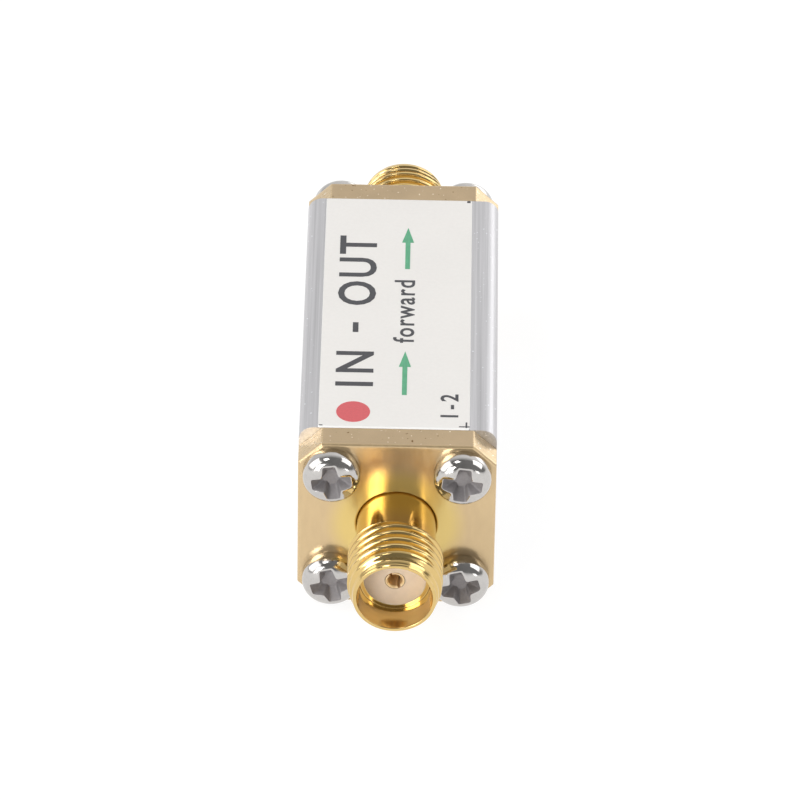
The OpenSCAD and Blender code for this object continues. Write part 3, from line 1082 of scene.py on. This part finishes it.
@dataclass
class Label:
    """Printed film on the tube's top face, with its marks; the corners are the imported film's."""

    low: Vector
    high: Vector
    film: float = 0.085
    ink: float = 0.012
    corner: float = 0.15
    cut: float = 0.11
    foot: float = 0.01
    side_slope: float = 0.015
    dot_x: float = -3.02
    dot_y: float = -11.40
    dot_radius: float = 1.13
    dot_points: int = 72
    arrow_shaft: float = 0.165
    arrow_head: float = 0.41
    arrow_head_length: float = 1.73

    @classmethod
    def measured(cls) -> "Label":
        """Reads the film's corners, in millimetres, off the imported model."""
        low, high = (Vector(corner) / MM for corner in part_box("label"))
        return cls(low, high)

    @property
    def print_height(self) -> float:
        """Height of the film's face, which the inks lie on."""
        return self.low.z + self.film

    def build_film(self) -> None:
        """Makes the film, with its cut ends sloping to its face."""
        draft = Draft()
        loops = []
        levels = ((0.0, 0.0, 0.0), (0.0, 0.0, self.foot), (self.side_slope, self.cut, self.film))
        for inset, slope, height in levels:
            left, near = self.low.x + inset, self.low.y + slope
            right, far = self.high.x - inset, self.high.y - slope
            outline = rounded([(left, near), (right, near), (right, far), (left, far)], self.corner)
            loops.append(draft.loop((x, y, self.low.z + height) for x, y in outline))
        # The cut ends take the second finish, the whiter film that paints a highlight along them
        draft.tower(loops, Area.SIDE)
        draft.fill([loops[0]])
        draft.fill([loops[-1]])
        film = draft.build("label_film", (FILM, FILM_EDGE_HIGHLIGHT), Matrix())
        place_piece(film, "label_film", "label")

    def mark(self, name: str, finish: Finish, outlines: Sequence[Sequence[Point]]) -> None:
        """Prints closed outlines on the film as one thin piece.

        Args:
            name: Name of the piece.
            finish: Its ink.
            outlines: The outlines, in the row frame's x and y.
        """
        draft = Draft()
        for outline in outlines:
            lower, upper = (draft.loop((x, y, self.print_height + lift) for x, y in outline)
                            for lift in (0.0, self.ink))
            draft.bridge(lower, upper)
            draft.fill([lower])
            draft.fill([upper])
        place_piece(draft.build(name, (finish,), Matrix()), "label_film")

    def print_word(self, word: Word) -> None:
        """Prints a word on the film.

        Args:
            word: The word, with its place and size.
        """
        curve = bpy.data.curves.new(word.name, "FONT")
        curve.body = word.text
        curve.align_x = "CENTER"
        curve.size = word.height / CAPITAL_SHARE
        curve.space_character = word.gap
        curve.offset = word.weight
        curve.extrude = self.ink / 2
        curve.resolution_u = LETTER_STEPS
        holder = new_object(word.name + "_curve", curve)
        mesh = evaluated_mesh(holder)
        bpy.data.objects.remove(holder)
        place = Vector((word.foot_x, word.middle_y, self.print_height + self.ink / 2))
        turn = Matrix.Rotation(math.pi / 2, 4, "Z")
        mesh.transform(Matrix.Scale(MM, 4) @ Matrix.Translation(place) @ turn)
        mesh.materials.clear()
        mesh.materials.append(GREY_INK.material())
        place_piece(finished(word.name, mesh), "label_film")

    def arrow(self, x: float, tail: float, tip: float) -> list[tuple[float, float]]:
        """Returns the outline of an arrow along +Y.

        Args:
            x: Place of its middle line.
            tail: Where it starts.
            tip: Where it ends.

        Returns:
            The outline's points.
        """
        shaft, head, base = self.arrow_shaft, self.arrow_head, tip - self.arrow_head_length
        return [(x - shaft, tail), (x + shaft, tail), (x + shaft, base), (x + head, base), (x, tip),
                (x - head, base), (x - shaft, base)]

    @staticmethod
    def bar(x: float, y: float, half_width: float, half_length: float) -> list[tuple[float, float]]:
        """Returns the outline of a bar about a point."""
        return [(x - half_width, y - half_length), (x + half_width, y - half_length),
                (x + half_width, y + half_length), (x - half_width, y + half_length)]

    def build_print(self) -> None:
        """Prints the dot, the arrows, the words and the cutting marks."""
        dot = [(self.dot_x + x, self.dot_y + y) for x, y, _ in circle(self.dot_radius, self.dot_points)]
        self.mark("input_dot", RED_INK, [dot])
        self.mark("flow_arrows", GREEN_INK, [self.arrow(*arrow) for arrow in ARROWS])
        for word in PORT_WORDS:
            self.print_word(word)
        self.mark("port_dash", GREY_INK, [self.bar(*PORT_DASH)])
        for word in SMALL_WORDS:
            self.print_word(word)
        self.mark("cutting_marks", GREY_INK, [self.bar(*mark) for mark in CUTTING_MARKS])


@dataclass
class KeptNodes:
    """CAD nodes that keep their own mesh and take a finish."""

    nodes: dict[str, Object]

    def dress(self) -> None:
        """Gives each node its finish."""
        finishes = {
            "housing_tube": ALUMINIUM, "carrier_board": LAMINATE, "load_resistor": CERAMIC,
            "isolator_cup": STEEL, "lower_ferrite": FERRITE, "upper_ferrite": FERRITE, "pole_plate": STEEL,
            "bias_magnet": FERRITE, "isolator_lid": STEEL, "junction_conductor": COPPER,
            "input_strip": COPPER, "output_strip": COPPER, "load_strip": COPPER}
        for end in End:
            finishes[f"{end.word}_connector_insulator"] = PTFE
            finishes[f"{end.word}_centre_contact"] = CONTACT_GOLD
        for name, finish in finishes.items():
            for slot in self.nodes[name].material_slots:
                slot.material = finish.material()
            LOG.info("%s: %s", name, finish.name)


# Studio

LAMP_TARGET = Vector((0.0, -0.01, 0.006))  # what the lamps face, in metres


@dataclass(frozen=True)
class SoftBox:
    """An area lamp that faces the part.

    The azimuth is in degrees to the right of the camera's side, seen from above, and the elevation in
    degrees above the floor. The sizes are in metres and the power is in watts.
    """

    name: str
    azimuth: float
    elevation: float
    width: float
    height: float
    power: float
    distance: float = 0.8

    def build(self) -> None:
        """Hangs the lamp."""
        lamp = bpy.data.lights.new(self.name, "AREA")
        lamp.shape = "RECTANGLE"
        lamp.size = self.width
        lamp.size_y = self.height
        lamp.energy = self.power
        holder = new_object(self.name, lamp)
        side, rise = math.radians(self.azimuth), math.radians(self.elevation)
        aim = Vector((math.sin(side) * math.cos(rise), -math.cos(side) * math.cos(rise), math.sin(rise)))
        holder.location = aim * self.distance + LAMP_TARGET
        holder.rotation_euler = aim.to_track_quat("Z", "Y").to_euler()


SOFT_BOXES = (
    SoftBox("front_strip", -33.0, 15.0, 0.30, 0.40, 2.9),
    SoftBox("left_box", -82.0, 28.0, 0.90, 0.60, 3.0),
    SoftBox("right_box", 95.0, 38.0, 0.60, 0.50, 1.85),
    SoftBox("back_box", 150.0, 10.0, 0.52, 0.24, 0.46),
    SoftBox("over_box", -60.0, 68.0, 0.22, 0.20, 0.95),
    SoftBox("low_spot", 37.0, 4.0, 0.16, 0.10, 0.16))


@dataclass
class Studio:
    """Floor, soft boxes, sky and camera.

    The sky's spans are parts of a unit ray (depth, height or side), each with the light at its two ends.
    The camera's angles are in degrees, and its place is in millimetres from the middle of the input
    plate's face, along its own axes.
    """

    body: Body
    floor_radius: float = 4.0
    floor_points: int = 64
    floor_glow: float = 1.14
    glow_share: float = 0.75
    wall_depth: tuple[float, float] = (0.06, 0.62)
    wall_light: tuple[float, float] = (0.22, 0.98)
    cove_height: tuple[float, float] = (0.05, 0.16)
    cove_light: tuple[float, float] = (0.88, 0.0)
    room_side: tuple[float, float] = (-0.6, 0.6)
    side_light: tuple[float, float] = (0.8, 1.1)
    azimuth: float = 0.26
    elevation: float = 37.14
    roll: float = -0.953
    camera_right: float = 0.245
    camera_up: float = 8.303
    camera_back: float = 473.957
    lens: float = 319.24
    sensor_width: float = 36.0

    def build_floor(self) -> None:
        """Makes a plain white floor that keeps a soft shadow."""
        points = circle(self.floor_radius, self.floor_points)
        mesh = bpy.data.meshes.new("floor")
        mesh.from_pydata(points, [], [range(len(points))])
        material = bpy.data.materials.new("white sweep")
        material.use_nodes = True
        tree = material.node_tree
        tree.nodes.clear()
        path = add_node(tree, "ShaderNodeLightPath")
        seen = path.outputs["Is Camera Ray"]
        for name in ("Is Glossy Ray", "Is Transmission Ray"):
            seen = add_node(tree, MATH, (seen, path.outputs[name]), operation="MAXIMUM")
        share = add_node(tree, MATH, (seen, self.glow_share), operation="MULTIPLY")
        paint = add_node(tree, "ShaderNodeBsdfDiffuse", {"Color": linear_rgb("F0F0F0")})
        glow = add_node(tree, "ShaderNodeEmission", (linear_rgb("FFFFFF"), self.floor_glow))
        mix = add_node(tree, "ShaderNodeMixShader", (share, paint, glow))
        add_node(tree, "ShaderNodeOutputMaterial", (mix,))
        mesh.materials.append(material)
        floor = new_object("floor", mesh)

    def build_sky(self) -> None:
        """Makes the room: a white wall behind the part, a pale cove near the floor and a dim front."""
        world = bpy.data.worlds.new("studio")
        world.use_nodes = True
        tree = world.node_tree
        ray = add_node(tree, "ShaderNodeTexCoord").outputs["Generated"]
        side, depth, height = add_node(tree, "ShaderNodeSeparateXYZ", (ray,)).outputs
        wall = add_node(tree, MAP_RANGE, (depth, *self.wall_depth, *self.wall_light))
        cove = add_node(tree, MAP_RANGE, (height, *self.cove_height, *self.cove_light))
        tilt = add_node(tree, MAP_RANGE, (side, *self.room_side, *self.side_light))
        even = add_node(tree, MATH, (wall, cove), operation="MAXIMUM")
        level = add_node(tree, MATH, (even, tilt), operation="MULTIPLY")
        background = tree.nodes["Background"]
        background.inputs["Color"].default_value = linear_rgb("FFFFFF")
        tree.links.new(level.outputs[0], background.inputs["Strength"])
        bpy.context.scene.world = world

    def build_camera(self) -> None:
        """Sets the camera where the photograph was taken from."""
        azimuth, elevation, roll = (math.radians(a) for a in (self.azimuth, self.elevation, self.roll))
        forward = Vector((-math.sin(azimuth) * math.cos(elevation), math.cos(azimuth) * math.cos(elevation),
                          -math.sin(elevation)))
        flat_right = Vector((math.cos(azimuth), math.sin(azimuth), 0.0))
        flat_down = forward.cross(flat_right)
        right = flat_right * math.cos(roll) + flat_down * math.sin(roll)
        down = flat_down * math.cos(roll) - flat_right * math.sin(roll)
        place = self.body.origin(End.INPUT) + right * self.camera_right
        place -= down * self.camera_up + forward * self.camera_back
        camera = bpy.data.cameras.new("camera")
        camera.sensor_width = self.sensor_width
        camera.lens = self.lens
        holder = new_object("camera", camera)
        axes = Matrix((right, -down, -forward)).transposed().to_4x4()
        holder.matrix_world = Matrix.Translation(place * MM) @ axes
        bpy.context.scene.camera = holder

    def build(self) -> None:
        """Sets up the whole studio."""
        bpy.context.scene.view_settings.view_transform = "Standard"
        self.build_floor()
        self.build_sky()
        for box in SOFT_BOXES:
            box.build()
        self.build_camera()


def main() -> None:
    """Builds the part's looks round its CAD model and sets up the studio."""
    logging.basicConfig(level=logging.INFO, format="%(name)s: %(message)s")
    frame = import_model()
    body = Body.measured()
    KeptNodes(frame["nodes"]).dress()
    for end in End:
        EndPlate(body).build(end)
        Jack(body).build(end)
        PlateScrews(body).build(end)
    label = Label.measured()
    label.build_film()
    label.build_print()
    Studio(body).build()


if __name__ == "__main__":
    main()
